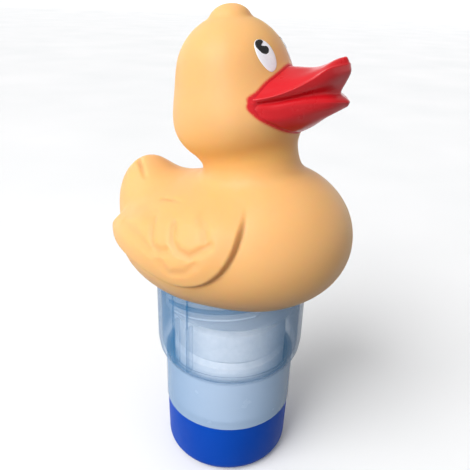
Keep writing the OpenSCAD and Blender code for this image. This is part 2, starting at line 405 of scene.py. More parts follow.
def wing_lines(p):
    """Distance past the wing's edge, how far it melts into the tail, its edge line and its feathers."""
    x, z = p[:, 0], p[:, 2]
    edge = leaf_distance(x, z, *WING_FRONT, *WING_TIP)
    # The wing's edge is crisp in front and below, and melts into the tail above
    melt = ramp(174, 186, z) * ramp(-8, -34, x)
    shoulder = z - (196.5 + 2.5 * np.sin((x + 20) / 16))
    line = 0.6 * ramp(-60, -45, x) + 0.8 * ramp(-12, -32, x) * ramp(170, 162, z)
    line = line * groove(edge - 0.6, 1.1) * ramp(-1, -9, shoulder) * (1 - melt)
    feathers = np.zeros_like(x)
    for depth, width, points in FEATHERS:
        feathers = np.maximum(feathers, depth * groove(line_distance(x, z, points), width))
    return edge, melt, shoulder, line, feathers * ramp(-3, -9, edge)


def wing_relief(p):
    """How far the wing and its feathers stand off the body, seen from the side."""
    edge, melt, shoulder, line, feathers = wing_lines(p)
    inside = ramp(0.8 + 3 * melt, -1.8 - 17 * melt, edge)
    pillow = ramp(0, -13, edge)
    height = WING_T * inside * (0.74 + 0.26 * pillow) + 1.5 * ramp(-30, -68, p[:, 0]) * inside
    height = (height - feathers) * ramp(4, -10, shoulder) - line
    return height * ramp(14, 24, np.abs(p[:, 1]))


def folds(p, width):
    """The tail's crease and the fold above each wing."""
    tail = crease(p, (-67, -4.5, 204), (-55, -16.4, 197), 2.5, width)
    return tail + crease(p, (-30, -34.7, 193.3), (-14, -39, 193.5), 1.5, width)


def shade_in_folds(p):
    """How much darker the vinyl looks down in its creases, from 0 to 1."""
    line, feathers = wing_lines(p)[3:]
    wing = (0.8 * line + 0.15 * feathers) * ramp(14, 24, np.abs(p[:, 1]))
    return np.clip(wing + 0.35 * folds(p, 1.0), 0, 1)


def in_head(p):
    """World points as the untilted head sees them."""
    a = math.radians(HEAD_TILT)
    q = p - NECK
    return np.stack([q[:, 0] * math.cos(a) + q[:, 2] * math.sin(a), q[:, 1],
                     -q[:, 0] * math.sin(a) + q[:, 2] * math.cos(a)], 1) + NECK


def duck_field(p):
    """Signed distance, near enough, to the duck's outside without its bill."""
    trunk = blend_union(ovoid(p, *BODY), ovoid(p, *BREAST), 16)
    trunk = blend_union(trunk, ovoid(p, *TAIL, lean=TAIL_LEAN), 22)
    trunk = trunk - wing_relief(p) + folds(p, 1.6)
    h = in_head(p)
    head = blend_union(ovoid(h, *CHEEK), ovoid(h, *CROWN), 12)
    head = blend_union(head, ovoid(h, *THROAT), 8)
    return blend_union(blend_union(trunk, head, 8), ovoid(h, *CREST), 1.6)


def field_gradient(field, p, step=0.3):
    """The way in which the field grows, by central differences."""
    out = np.zeros_like(p)
    for k in range(3):
        shift = np.zeros(3)
        shift[k] = step
        out[:, k] = field(p + shift) - field(p - shift)
    return out / (2 * step)


def onto_surface(field, p, rounds=4):
    """Moves points along the gradient onto the field's zero surface, in careful steps."""
    p = p.copy()
    for _ in range(rounds):
        g = field_gradient(field, p)
        size = np.maximum((g * g).sum(1, keepdims=True), 0.05)
        move = field(p)[:, None] * g / size
        length = np.linalg.norm(move, axis=1, keepdims=True)
        p -= move * np.minimum(1, 1.5 / np.maximum(length, 1e-9))
    return p


def net_surface(field, low, high, cell):
    """Meshes a field's zero surface with one vertex per crossed cell, in quads."""
    axes = [np.arange(l, h + cell, cell) for l, h in zip(low, high)]
    grid = np.stack(np.meshgrid(*axes, indexing="ij"), -1)
    shape = grid.shape[:3]
    values = field(grid.reshape(-1, 3)).reshape(shape)
    inside = values < 0
    corners = [(i, j, k) for i in (0, 1) for j in (0, 1) for k in (0, 1)]
    cells = tuple(s - 1 for s in shape)
    count = sum(inside[i:i + cells[0], j:j + cells[1], k:k + cells[2]].astype(int)
                for i, j, k in corners)
    mixed = (count > 0) & (count < 8)
    ids = -np.ones(cells, int)
    ids[mixed] = np.arange(mixed.sum())
    where = np.argwhere(mixed)
    total = np.zeros((len(where), 3))
    hits = np.zeros(len(where))
    for a in corners:
        for axis in range(3):
            if a[axis]:
                continue
            b = tuple(a[n] + (n == axis) for n in range(3))
            va = values[tuple((where + a).T)]
            vb = values[tuple((where + b).T)]
            crossed = (va < 0) != (vb < 0)
            t = np.where(crossed, va / np.where(crossed, va - vb, 1), 0)
            point = np.array(a, float) + t[:, None] * (np.array(b) - np.array(a))
            total += np.where(crossed[:, None], point, 0)
            hits += crossed
    verts = np.array(low) + (where + total / hits[:, None]) * cell
    faces = []
    for axis in range(3):
        u, v = (axis + 1) % 3, (axis + 2) % 3
        first = [slice(None)] * 3
        first[axis] = slice(0, shape[axis] - 1)
        second = [slice(None)] * 3
        second[axis] = slice(1, shape[axis])
        flips = inside[tuple(first)] != inside[tuple(second)]
        for spot in np.argwhere(flips):
            if spot[u] == 0 or spot[v] == 0 or spot[u] >= shape[u] - 1 or spot[v] >= shape[v] - 1:
                continue
            quad = []
            for du, dv in ((1, 1), (0, 1), (0, 0), (1, 0)):
                c = spot.copy()
                c[u] -= du
                c[v] -= dv
                quad.append(ids[tuple(c)])
            if not inside[tuple(spot)]:
                quad.reverse()
            faces.append(quad)
    return verts, faces


# ------------------------------------------------------------------ bill

def curve_between(a, b, c, d, f):
    """Catmull-Rom: the point a fraction f of the way from b to c."""
    return 0.5 * (2 * b + (c - a) * f + (2 * a - 5 * b + 4 * c - d) * f ** 2
                  + (3 * b - a - 3 * c + d) * f ** 3)


def spline(points, count):
    """A smooth curve through given points, resampled to count points."""
    p = np.array(points, float)
    p = np.vstack([2 * p[0] - p[1], p, 2 * p[-1] - p[-2]])
    t = np.linspace(0, len(points) - 1, count)
    i = np.minimum(t.astype(int), len(points) - 2)
    f = (t - i)[:, None]
    return curve_between(p[i], p[i + 1], p[i + 2], p[i + 3], f)


# Feature lines of the bill's left half, from inside the head to the tip: (x, y, z)
BILL_TOP = [(20, 0, 268), (29, 0, 269.2), (37, 0, 269), (45, 0, 269.2), (51, 0, 271.2),
            (55.5, 0, 273.7), (59.3, 0, 274.8)]
BILL_ROOF = [(14, 11, 266.5), (25, 20.5, 261.2), (33, 18, 262.3), (41, 15.5, 264.5),
             (48.5, 12.5, 268), (55, 9, 272.2), (61.2, 0, 274.2)]
BILL_LIP = [(14, 26.8, 253.5), (22.4, 28.7, 253.6), (31, 26, 255.6), (39.5, 22.6, 259.2), (48, 19, 264.4),
            (55.5, 14.6, 270), (62.9, 0, 271.6)]
BILL_WALL = [(14, 26.8, 252.6), (22.3, 28.6, 252.4), (31, 24.8, 254), (40, 20.8, 256.4), (49, 17, 260.2),
             (57.5, 12.5, 265), (64, 0, 267.4)]
BILL_MOUTH = [(14, 26.6, 251.6), (22, 27.6, 251.3), (30, 23.6, 252.2), (39, 18.6, 254.4), (47, 14.2, 256.4),
              (54, 8.6, 257), (58.6, 0, 255.9)]
BILL_LOW_LIP = [(13, 28, 250), (21.6, 29.6, 249), (31, 25.8, 249.4), (40, 21.2, 251.9), (49, 16.8, 253.2),
                (59, 10.6, 253.8), (64.8, 0, 252.6)]
BILL_CHEEK = [(14, 27, 247), (24.4, 29, 246.4), (33.5, 24.6, 246.4), (42, 20.2, 248.4), (50.5, 15.6, 250.2),
              (59, 9.8, 251.6), (64.6, 0, 252)]
BILL_JAW = [(16, 22, 243), (29.8, 25.2, 241.9), (37.5, 20.4, 241.4), (45, 15.8, 243.6), (52, 11.6, 246.6),
            (59, 7, 249), (64.4, 0, 251.4)]
BILL_UNDER = [(18, 12, 240), (36, 14.4, 236.8), (41, 11.6, 237), (46.5, 9, 239.6),
              (52.5, 6.6, 243.4), (58.5, 4, 247), (64, 0, 250.8)]
BILL_CHIN = [(20, 0, 238), (38, 0, 233.8), (42, 0, 234.8), (47, 0, 238.2), (52.6, 0, 243),
             (58, 0, 246.8), (63.6, 0, 250.3)]
BILL_LINES = (BILL_TOP, BILL_ROOF, BILL_LIP, BILL_WALL, BILL_MOUTH, BILL_LOW_LIP, BILL_CHEEK,
              BILL_JAW, BILL_UNDER, BILL_CHIN)
MOUTH_CORNER = np.array([21.6, -28.9, 250.6])


def bill_rows(count):
    """The half sections of the bill as rows of points, from the top line to the chin."""
    top, roof, lip, wall, mouth, low, cheek, jaw, painted_belly_shade, chin = (
        spline(line, count) for line in BILL_LINES)
    drop = np.array([0, 0, 1.0])
    return [
        top,
        top * 0.45 + roof * 0.55 + drop * 0.4,
        roof,
        roof * 0.4 + lip * 0.6 - drop * 0.5,
        lip * 0.85 + roof * 0.15 - drop * 0.1,
        lip,
        lip * 0.6 + wall * 0.4,
        wall,
        wall * 0.4 + mouth * 0.6,
        mouth,
        mouth * 0.45 + low * 0.55 + drop * 0.5,
        low,
        low * 0.5 + cheek * 0.5,
        cheek,
        cheek * 0.5 + jaw * 0.5 + (cheek - chin) * [0, 0.05, 0],
        jaw,
        jaw * 0.5 + painted_belly_shade * 0.5 + (jaw - chin) * [0, 0.06, 0],
        painted_belly_shade,
        painted_belly_shade * 0.5 + chin * 0.5,
        chin,
    ]


def make_bill():
    """Both halves of the bill as one closed net, smoothed."""
    half = np.array(bill_rows(22))
    half[:, -1, 1] = 0
    r, n = half.shape[:2]
    verts, ids = [], {}

    def vert(side, i, j):
        flat = i in (0, r - 1) or j == n - 1
        key = (0 if flat else side, i, j)
        if key not in ids:
            x, y, z = half[i, j]
            ids[key] = len(verts)
            verts.append((x, 0 if flat else side * y, z))
        return ids[key]

    faces = []
    for side in (1, -1):
        for i in range(r - 1):
            for j in range(n - 1):
                quad = [vert(side, i + di, j + dj) for di, dj in ((0, 0), (0, 1), (1, 1), (1, 0))]
                quad = [v for m, v in enumerate(quad) if v not in quad[:m]]
                if len(quad) > 2:
                    faces.append(quad if side > 0 else quad[::-1])
    back = [vert(1, i, 0) for i in range(r)] + [vert(-1, i, 0) for i in range(r - 2, 0, -1)]
    faces.append(back)
    obj = new_object("bill", verts, faces)
    fix_normals(obj)
    subdivide(obj, 2)
    return obj


# ------------------------------------------------------------------ materials

def linear(r, g, b):
    """A linear colour from 0-255 display values."""
    out = []
    for c in (r, g, b):
        c /= 255
        out.append(c / 12.92 if c <= 0.04045 else ((c + 0.055) / 1.055) ** 2.4)
    return (*out, 1.0)


class Look:
    """A node material with one Principled shader. Patterns follow the object's own coordinates."""

    def __init__(self, name):
        self.mat = bpy.data.materials.new(name)
        self.mat.use_nodes = True
        self.tree = self.mat.node_tree
        self.tree.nodes.clear()
        out = self.add("ShaderNodeOutputMaterial")
        self.shader = self.add("ShaderNodeBsdfPrincipled")
        self.link(self.shader.outputs[0], out.inputs[0])
        self.coords = self.add("ShaderNodeTexCoord").outputs["Object"]

    def add(self, kind, **values):
        node = self.tree.nodes.new(kind)
        for key, value in values.items():
            setattr(node, key, value)
        return node

    def link(self, a, b):
        self.tree.links.new(a, b)

    def set(self, **values):
        for key, value in values.items():
            self.shader.inputs[key.replace("_", " ")].default_value = value

    def noise(self, scale, detail=3.0, roughness=0.5, stretch=None):
        node = self.add("ShaderNodeTexNoise")
        node.inputs["Scale"].default_value = scale
        node.inputs["Detail"].default_value = detail
        node.inputs["Roughness"].default_value = roughness
        if stretch:
            mapping = self.add("ShaderNodeMapping")
            mapping.inputs["Scale"].default_value = stretch
            self.link(self.coords, mapping.inputs[0])
            self.link(mapping.outputs[0], node.inputs["Vector"])
        else:
            self.link(self.coords, node.inputs["Vector"])
        return node.outputs["Fac"]

    def colours(self, fac, low, high):
        """A colour that goes from low to high as fac goes from 0.3 to 0.7."""
        node = self.add("ShaderNodeValToRGB")
        for element, at, colour in zip(node.color_ramp.elements, (0.3, 0.7), (low, high)):
            element.position = at
            element.color = colour
        self.link(fac, node.inputs[0])
        return node.outputs[0]

    def remap(self, value, from_min, from_max, to_min, to_max):
        node = self.add("ShaderNodeMapRange")
        self.link(value, node.inputs["Value"])
        names = ("From Min", "From Max", "To Min", "To Max")
        for key, v in zip(names, (from_min, from_max, to_min, to_max)):
            node.inputs[key].default_value = v
        return node.outputs[0]

    def feed(self, value, socket):
        """Links a socket to an input, or sets the input to a plain value."""
        if isinstance(value, bpy.types.NodeSocket):
            self.link(value, socket)
        else:
            socket.default_value = value

    def mix(self, fac, a, b):
        node = self.add("ShaderNodeMix", data_type="RGBA")
        for value, socket in ((fac, node.inputs[0]), (a, node.inputs[6]), (b, node.inputs[7])):
            self.feed(value, socket)
        return node.outputs[2]

    def maths(self, operation, *values):
        node = self.add("ShaderNodeMath", operation=operation)
        for value, socket in zip(values, node.inputs):
            self.feed(value, socket)
        return node.outputs[0]

    def axis(self, name):
        """One of the object's own coordinates, in metres."""
        split = self.add("ShaderNodeSeparateXYZ")
        self.link(self.coords, split.inputs[0])
        return split.outputs[name]

    def attribute(self, name):
        """A value that the mesh stores at each of its points."""
        return self.add("ShaderNodeAttribute", attribute_name=name).outputs["Fac"]

    def bump(self, height, strength, distance):
        node = self.add("ShaderNodeBump")
        node.inputs["Strength"].default_value = strength
        node.inputs["Distance"].default_value = distance
        self.link(height, node.inputs["Height"])
        self.link(node.outputs[0], self.shader.inputs["Normal"])

    def base(self, socket):
        self.link(socket, self.shader.inputs["Base Color"])

    def rough(self, scale, detail, low, high):
        """Roughness that drifts from low to high over a noise pattern."""
        uneven = self.remap(self.noise(scale, detail), 0.3, 0.7, low, high)
        self.link(uneven, self.shader.inputs["Roughness"])


def vinyl():
    look = Look("duck_vinyl")
    look.set(Subsurface_Weight=0.5, Subsurface_Scale=0.008, Specular_IOR_Level=0.3)
    look.shader.inputs["Subsurface Radius"].default_value = (1.0, 0.42, 0.16)
    broad = look.noise(14, 2)
    skin = look.colours(broad, linear(231, 176, 110), linear(236, 183, 119))
    # Painted shade: the vinyl is painted a little darker under the belly, where less light reaches
    height = look.axis("Z")
    painted_belly_shade = look.remap(height, 0.155, 0.122, 0, 0.55)
    skin = look.mix(painted_belly_shade, skin, linear(186, 134, 84))
    # Painted light: warmer and brighter round the neck, standing in for light that the body throws back up
    # under the head
    neck_light_in = look.remap(height, 0.208, 0.220, 0, 0.8)
    neck_light_out = look.remap(height, 0.240, 0.226, 0, 1)
    skin = look.mix(look.maths("MULTIPLY", neck_light_in, neck_light_out), skin, linear(255, 192, 108))
    dark = look.maths("MULTIPLY", look.attribute("fold_shade"), 0.7)
    skin = look.mix(dark, skin, linear(150, 92, 48))
    look.base(look.mix(look.attribute("bill_paint"), skin, linear(214, 22, 34)))
    look.rough(60, 4, 0.42, 0.5)
    look.bump(look.noise(900, 3), 0.05, 0.0004)
    return look.mat


def red_gloss():
    look = Look("bill_red")
    look.set(Specular_IOR_Level=0.32)
    look.base(look.colours(look.noise(22, 3), linear(194, 12, 22), linear(204, 18, 30)))
    look.rough(80, 4, 0.26, 0.34)
    look.bump(look.noise(500, 2), 0.04, 0.0004)
    return look.mat


def paint(name, low, high, roughness):
    look = Look(name)
    look.set(Coat_Weight=0.3, Coat_Roughness=0.15)
    look.base(look.colours(look.noise(120, 3), low, high))
    look.rough(200, 3, roughness, roughness + 0.08)
    look.bump(look.noise(700, 2), 0.04, 0.0003)
    return look.mat


def blue_cap():
    look = Look("cap_blue")
    look.set(Specular_IOR_Level=0.1)
    flow = look.noise(30, 3, stretch=(1, 1, 0.25))
    look.base(look.colours(flow, linear(0, 66, 172), linear(0, 74, 184)))
    look.rough(90, 4, 0.42, 0.52)
    look.bump(look.noise(800, 3), 0.08, 0.0003)
    return look.mat


def brighter(colour, share):
    """The same colour a little brighter."""
    return tuple(min(1, c * share) for c in colour[:3]) + (1,)


def clear_plastic(name, tint, haze, alpha, frost):
    """Tinted clear plastic that is hazier, by frost, below the canister's collar."""
    look = Look(name)
    look.set(IOR=1.47, Specular_IOR_Level=0.4)
    low = look.remap(look.axis("Z"), (COLLAR_Z + 1) * MM, (COLLAR_Z - 5) * MM, 0, 1)
    # More of the tint shows where the wall is seen edge on
    rim = look.add("ShaderNodeLayerWeight")
    rim.inputs["Blend"].default_value = 0.35
    edge = look.remap(rim.outputs["Facing"], 0.15, 0.8, alpha, alpha + 0.45)
    # The guide ribs inside the collar are thinner to look through than the wall
    flat = look.add("ShaderNodeVectorMath", operation="MULTIPLY")
    look.link(look.coords, flat.inputs[0])
    flat.inputs[1].default_value = (1, 1, 0)
    radius = look.add("ShaderNodeVectorMath", operation="LENGTH")
    look.link(flat.outputs[0], radius.inputs[0])
    wall = look.remap(radius.outputs["Value"], (COLLAR_BORE_R - 0.7) * MM,
                      (COLLAR_BORE_R - 0.2) * MM, 0.3, 1)
    body = look.maths("MAXIMUM", wall, low)
    total = look.maths("MULTIPLY_ADD", low, frost, look.maths("MULTIPLY", edge, body))
    total.node.use_clamp = True
    look.link(total, look.shader.inputs["Alpha"])
    flow = look.noise(26, 3, stretch=(1, 1, 0.3))
    clear = look.colours(flow, tint, brighter(tint, 1.08))
    milky = look.colours(flow, haze, brighter(haze, 1.05))
    deep = look.remap(rim.outputs["Facing"], 0.15, 0.75, 0, 0.75)
    look.base(look.mix(deep, look.mix(low, clear, milky), tint))
    look.rough(70, 4, 0.2, 0.28)
    look.bump(look.noise(140, 3), 0.05, 0.0005)
    return look.mat


def chalk():
    look = Look("tablet_white")
    grain = look.noise(260, 5, 0.65)
    look.base(look.colours(grain, linear(232, 234, 236), linear(250, 250, 250)))
    look.rough(180, 4, 0.8, 0.95)
    look.bump(look.noise(900, 6, 0.7), 0.3, 0.0006)
    return look.mat


def plain_plastic(name, low, high, roughness):
    look = Look(name)
    look.base(look.colours(look.noise(60, 3), low, high))
    look.rough(120, 4, roughness, roughness + 0.1)
    look.bump(look.noise(900, 3), 0.06, 0.0003)
    return look.mat


def steel():
    look = Look("steel")
    look.set(Metallic=1.0)
    grain = look.noise(300, 4)
    look.base(look.colours(grain, linear(188, 190, 192), linear(214, 215, 216)))
    look.rough(500, 4, 0.22, 0.34)
    return look.mat


def give(obj, mat):
    """Makes the material the object's only one."""
    obj.data.materials.clear()
    obj.data.materials.append(mat)


def place(obj, body, node, slot, mat):
    """Rides a finished piece on its body, in place of its CAD node."""
    give(obj, mat)
    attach(obj, body)
    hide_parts(*([node] if isinstance(node, str) else node))


VINYL = vinyl()
RED = red_gloss()
EYE_WHITE = paint("eye_white", linear(236, 238, 246), linear(250, 250, 254), 0.25)
EYE_BLACK = paint("eye_black", linear(14, 14, 14), linear(24, 24, 24), 0.22)
BLUE = blue_cap()
CLEAR = clear_plastic("canister_clear", linear(38, 106, 152), linear(154, 174, 198), 0.21, 0.36)
MILK = linear(240, 243, 247)
FROST = clear_plastic("socket_frost", MILK, MILK, 0.92, 0)
CHALK = chalk()
WHITE = plain_plastic("white_plastic", linear(226, 228, 228), linear(240, 240, 238), 0.4)
SEAL = plain_plastic("seal_rubber", linear(190, 196, 204), linear(204, 210, 218), 0.6)
STEEL = steel()

# ------------------------------------------------------------------ canister and cap

FOOT_R = 40.4
FOOT_BORE_R = FOOT_R - 1.8
FLOOR_TOP = FLOOR_Z + 3
SLOT_IN, SLOT_OUT, SLOT_W = 16, 35, 10
SLOTS = 4
GUIDES = 3
GUIDE_TURN = 13
GUIDE_HALF = 8
GUIDE_T = 2.4
GUIDE_TOP = SKIRT_Z - 3
THREAD_Z = SKIRT_Z + 3.5


def slot_cutters(z0, z1):
    """Cutters for the water slots, centred on the X and Y axes."""
    return [stadium("slot", SLOT_IN, SLOT_OUT, SLOT_W, z0, z1, 2 * math.pi * i / SLOTS)
            for i in range(SLOTS)]


def threads(root_r, tip_r, z):
    """The ridges of the whole screw thread."""
    return [thread_ridge("thread", root_r, tip_r, z, 2 * math.pi * i / THREAD_STARTS)
            for i in range(THREAD_STARTS)]


def guide_ribs():
    """Pairs of ribs that keep the tablets in line, and the fine lines that run on above them."""
    parts = []
    for i in range(2 * GUIDES):
        side = 1 if i % 2 else -1
        turn = math.radians(GUIDE_TURN + side * GUIDE_HALF) + 2 * math.pi * (i // 2) / GUIDES
        parts.append(rounded_box("guide", (TUBE_BORE_R + GAP, -GUIDE_T / 2, COLLAR_Z + 0.5),
                                 (COLLAR_BORE_R + 0.2, GUIDE_T / 2, GUIDE_TOP), turn, 0.5))
        parts.append(rounded_box("line", (COLLAR_BORE_R - 0.25, -0.7, GUIDE_TOP - 0.2),
                                 (COLLAR_BORE_R + 0.2, 0.7, RIM_Z - 3), turn, 0.15))
    return parts


def rest_ribs():
    """Ribs on the floor that hold the lowest tablet clear of the slots."""
    return [rounded_box("rest", (12, -1, FLOOR_TOP - 0.3), (FOOT_BORE_R - 3, 1, TABLET_Z - 0.02),
                        2 * math.pi * (i + 0.5) / SLOTS, 0.4)
            for i in range(SLOTS)]


def make_canister():
    """Foot, tube, stepped collar and rim in one wall, with its ribs and its inner thread."""
    hole_r = PIVOT_R + 0.08
    wall = lathe("canister", [
        (hole_r, FLOOR_Z, 0.2), (FOOT_R - 5, FLOOR_Z, 2), (FOOT_R, FLOOR_Z + 6, 2),
        (FOOT_R, CAP_H + GAP, 0), (TUBE_R, CAP_H + GAP, 0.5),
        (TUBE_R, COLLAR_Z - 1.5, 1.0), (TUBE_R + 3, COLLAR_Z, 1.2),
        (COLLAR_R - 0.8, COLLAR_Z + 3, 2.5), (COLLAR_R, COLLAR_Z + 9, 4),
        (COLLAR_R, RIM_Z, 0.7), (COLLAR_BORE_R, RIM_Z, 0.7),
        (COLLAR_BORE_R, COLLAR_Z + 4, 2), (TUBE_BORE_R, COLLAR_Z, 2),
        (TUBE_BORE_R, CAP_H + WALL + 2, 1.5), (FOOT_BORE_R, CAP_H, 1.5),
        (FOOT_BORE_R, FLOOR_TOP + 4, 2), (FOOT_BORE_R - 4, FLOOR_TOP, 2), (hole_r, FLOOR_TOP, 0.2)],
        segments=192)
    cut(wall, *slot_cutters(FLOOR_Z - 2, FLOOR_TOP + 2))
    smooth_by_angle(wall, 40)
    inner_thread = threads(COLLAR_BORE_R + 0.2, COLLAR_BORE_R - 1.6, THREAD_Z + THREAD_LEAD / 6)
    return joined("canister_moulding", [wall, *guide_ribs(), *rest_ribs(), *inner_thread])


def make_cap():
    """A rounded cup with its slots and the centre pin that it turns on."""
    foot = CAP_R - 0.8
    bore = foot - 2
    cap = lathe("cap", [
        (0, 0, 0), (foot, 0, 8), (CAP_R, CAP_H, 0.7), (bore + 0.6, CAP_H, 0.5),
        (bore, CAP_H - 1.5, 0.5), (bore, 9, 4), (bore - 5, CAP_FLOOR, 4),
        (PIVOT_R, CAP_FLOOR, 0.6), (PIVOT_R, PIVOT_TOP, 0.6), (0, PIVOT_TOP, 0)],
        segments=192, steps=10)
    cut(cap, *slot_cutters(-2, CAP_FLOOR + 2))
    smooth_by_angle(cap, 40)
    return cap


def make_tablet(index):
    """A pressed tablet with chamfered edges."""
    z = TABLET_Z + index * TABLET_H
    r, h = TABLET_R, TABLET_H
    chamfer = 3
    return lathe("tablet_%d_cast" % (index + 1), [
        (0, z, 0), (r - chamfer, z, 1), (r, z + chamfer, 1.5),
        (r, z + h - chamfer, 1.5), (r - chamfer, z + h, 1), (0, z + h, 0)],
        segments=128)


canister = make_canister()
place(canister, "canister", "canister", "canister_clear", CLEAR)
place(make_cap(), "flow_cap", "flow_cap", "cap_blue", BLUE)
tablets = [make_tablet(n) for n in range(4)]
for n, tablet in enumerate(tablets):
    place(tablet, "canister", "tablet_%d" % (n + 1), "tablet_white", CHALK)


SKIRT_R = 44.5
SKIRT_BORE_R = 42
PLUG_HOLE_R = 6.1


def make_socket():
    """The plate under the duck and its skirt, which the canister screws onto."""
    plate_z = PLATE_TOP - 3
    skirt = lathe("socket", [
        (PLUG_HOLE_R, plate_z, 0.3), (SKIRT_BORE_R, plate_z, 1.0), (SKIRT_BORE_R, SKIRT_Z, 0.6),
        (SKIRT_R, SKIRT_Z, 0.8), (SKIRT_R, plate_z, 0.6), (COLLAR_R, plate_z, 0.3),
        (COLLAR_R, PLATE_TOP, 0.3), (PLUG_HOLE_R, PLATE_TOP, 0.3)],
        segments=192)
    return joined("socket_moulding", [skirt, *threads(SKIRT_R - 0.2, SKIRT_R + 1.6, THREAD_Z)])


socket = make_socket()
place(socket, "float", "belly_socket", "canister_clear", FROST)

# The CAD's own pieces that stay as they are
CARRIED_OVER = {
    "pivot_washer": WHITE, "pivot_clip": STEEL, "cap_o_ring": SEAL, "rim_seal": SEAL,
    "belly_gasket": SEAL, "clamp_ring": WHITE, "clamp_screws": STEEL, "air_plug": WHITE,
}
for node, mat in CARRIED_OVER.items():
    give(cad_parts[node], mat)

# ------------------------------------------------------------------ duck

bill = make_bill()
place(bill, "float", "bill", "bill_red", RED)


# The fillet where the bill leaves the head
FILLET = 4.0


def near_bill(points):
    """Each point's distance past the bill's surface, and the way that surface faces."""
    tree = BVHTree.FromObject(bill, bpy.context.evaluated_depsgraph_get())
    gap = np.full(len(points), 99.0)
    facing = np.zeros_like(points)
    head = (points[:, 0] > 8) & (points[:, 2] > 222) & (points[:, 2] < 282)
    for i in np.where(head)[0]:
        point = Vector(points[i] * MM)
        hit, normal, _, distance = tree.find_nearest(point, 0.03)
        if hit is not None:
            side = 1 if (point - hit).dot(normal) > 0 else -1
            gap[i] = side * distance / MM
            facing[i] = normal
    return gap, facing


def raised_to_bill(points, gap, facing):
    """The points lifted into a small fillet round the bill."""
    normals = field_gradient(duck_field, points)
    normals /= np.linalg.norm(normals, axis=1, keepdims=True)
    # Where the two surfaces run nearly the same way there is no corner to fill
    corner = np.clip(1.1 * (1 - (normals * facing).sum(1)), 0, 1)
    nearness = np.clip(1 - np.maximum(gap, 0) / FILLET, 0, 1)
    return points + normals * (0.27 * FILLET * corner * nearness ** 2)[:, None]


def bill_paint(points, gap):
    """1 where the bill's red paint runs onto the head, with a rounder patch at the mouth's corners."""
    from_corner = np.linalg.norm(to_right(points) - MOUTH_CORNER, axis=1)
    return ramp(1.7, 0.5, gap - 1.4 * groove(from_corner, 4.5))


def store(mesh, name, values):
    mesh.attributes.new(name, "FLOAT", "POINT").data.foreach_set("value", values)


def make_duck():
    """The duck's outside as one smooth net, with the round pocket cut into its belly."""
    cell = 1.7
    # The field's belly goes lower than the shell, which is open there
    low = shell_low - 6 - [0, 0, 10]
    verts, faces = net_surface(duck_field, low, shell_high + 6, cell)
    obj = new_object("duck_body", onto_surface(duck_field, verts, 4), faces)
    subdivide(obj, 1)
    mesh = obj.data
    flat = np.empty(len(mesh.vertices) * 3)
    mesh.vertices.foreach_get("co", flat)
    points = onto_surface(duck_field, flat.reshape(-1, 3) / MM, 3)
    gap, facing = near_bill(points)
    points = raised_to_bill(points, gap, facing)
    mesh.vertices.foreach_set("co", (points * MM).reshape(-1))
    store(mesh, "bill_paint", bill_paint(points, gap))
    store(mesh, "fold_shade", shade_in_folds(points))
    mesh.update()
    pocket = lathe("pocket", [(0, 90, 0), (POCKET_R + 2, 90, 0), (POCKET_R, 120, 0),
                              (POCKET_R, LEDGE_Z, 1), (0, LEDGE_Z, 0)], segments=192)
    cut(obj, pocket)
    obj.data.polygons.foreach_set("use_smooth", [True] * len(obj.data.polygons))
    smooth_by_angle(obj, 45)
    return obj


duck = make_duck()
place(duck, "float", ("duck_shell", "belly_pocket"), "duck_vinyl", VINYL)

# ------------------------------------------------------------------ eyes

def closed_curve(points, count):
    """A smooth closed curve through given points."""
    p = np.array(points, float)
    n = len(p)
    t = np.arange(count) / count * n
    i = t.astype(int)
    f = (t - i)[:, None]
    return curve_between(p[(i - 1) % n], p[i % n], p[(i + 1) % n], p[(i + 2) % n], f)


# Outlines of the right eye on the plane that touches the head at its middle: (across, up)
WHITE_LINE = [(-1.2, 8.9), (1.9, 7.9), (4.4, 5.4), (6.2, 1.8), (6.9, -1.8), (6.5, -5), (5, -7.4),
              (2.7, -8.6), (0.8, -8.2), (-1.3, -6.4), (-3.2, -3.7), (-4.6, -0.6), (-5.2, 2.6),
              (-5.0, 5.9), (-3.6, 8.1)]
PUPIL_LINE = [(-4.6, 6.2), (-3.4, 8), (-1.4, 8.7), (0.1, 8.4), (0.8, 7.4), (-0.5, 6.2), (-1.4, 5.2),
              (0.2, 4.8), (2.4, 4.6), (3.2, 3.4), (3.1, 2.1), (2.1, 0.8), (0.3, 0.2), (-1.8, 0.9),
              (-3.5, 2.8), (-4.5, 4.5)]
# A point inside each outline, from which its rings spread
WHITE_CORE = (0.5, 0)
PUPIL_CORE = (-2.5, 4.2)
# How far each patch of paint stands off the head
WHITE_LIFT = 0.35
PUPIL_LIFT = 0.6
# Where the left eye faces, in degrees; the right eye mirrors it
EYE_TURN = 31.9
EYE_RISE = 25.7
EYE_MIDDLE = np.array([21.9, 15.4, 273.9])


def patch_net(rings, spokes, count):
    """Faces of two round nets of count points, one above the other, and of the rim between them."""
    faces = []
    for layer in (0, count):
        for k in range(spokes):
            m = (k + 1) % spokes
            faces.append([layer, layer + 1 + k, layer + 1 + m])
            for i in range(rings - 1):
                a, b = layer + 1 + i * spokes, layer + 1 + (i + 1) * spokes
                faces.append([a + k, b + k, b + m, a + m])
    rim = 1 + (rings - 1) * spokes
    for k in range(spokes):
        m = (k + 1) % spokes
        faces.append([rim + k, rim + m, count + rim + m, count + rim + k])
    return faces


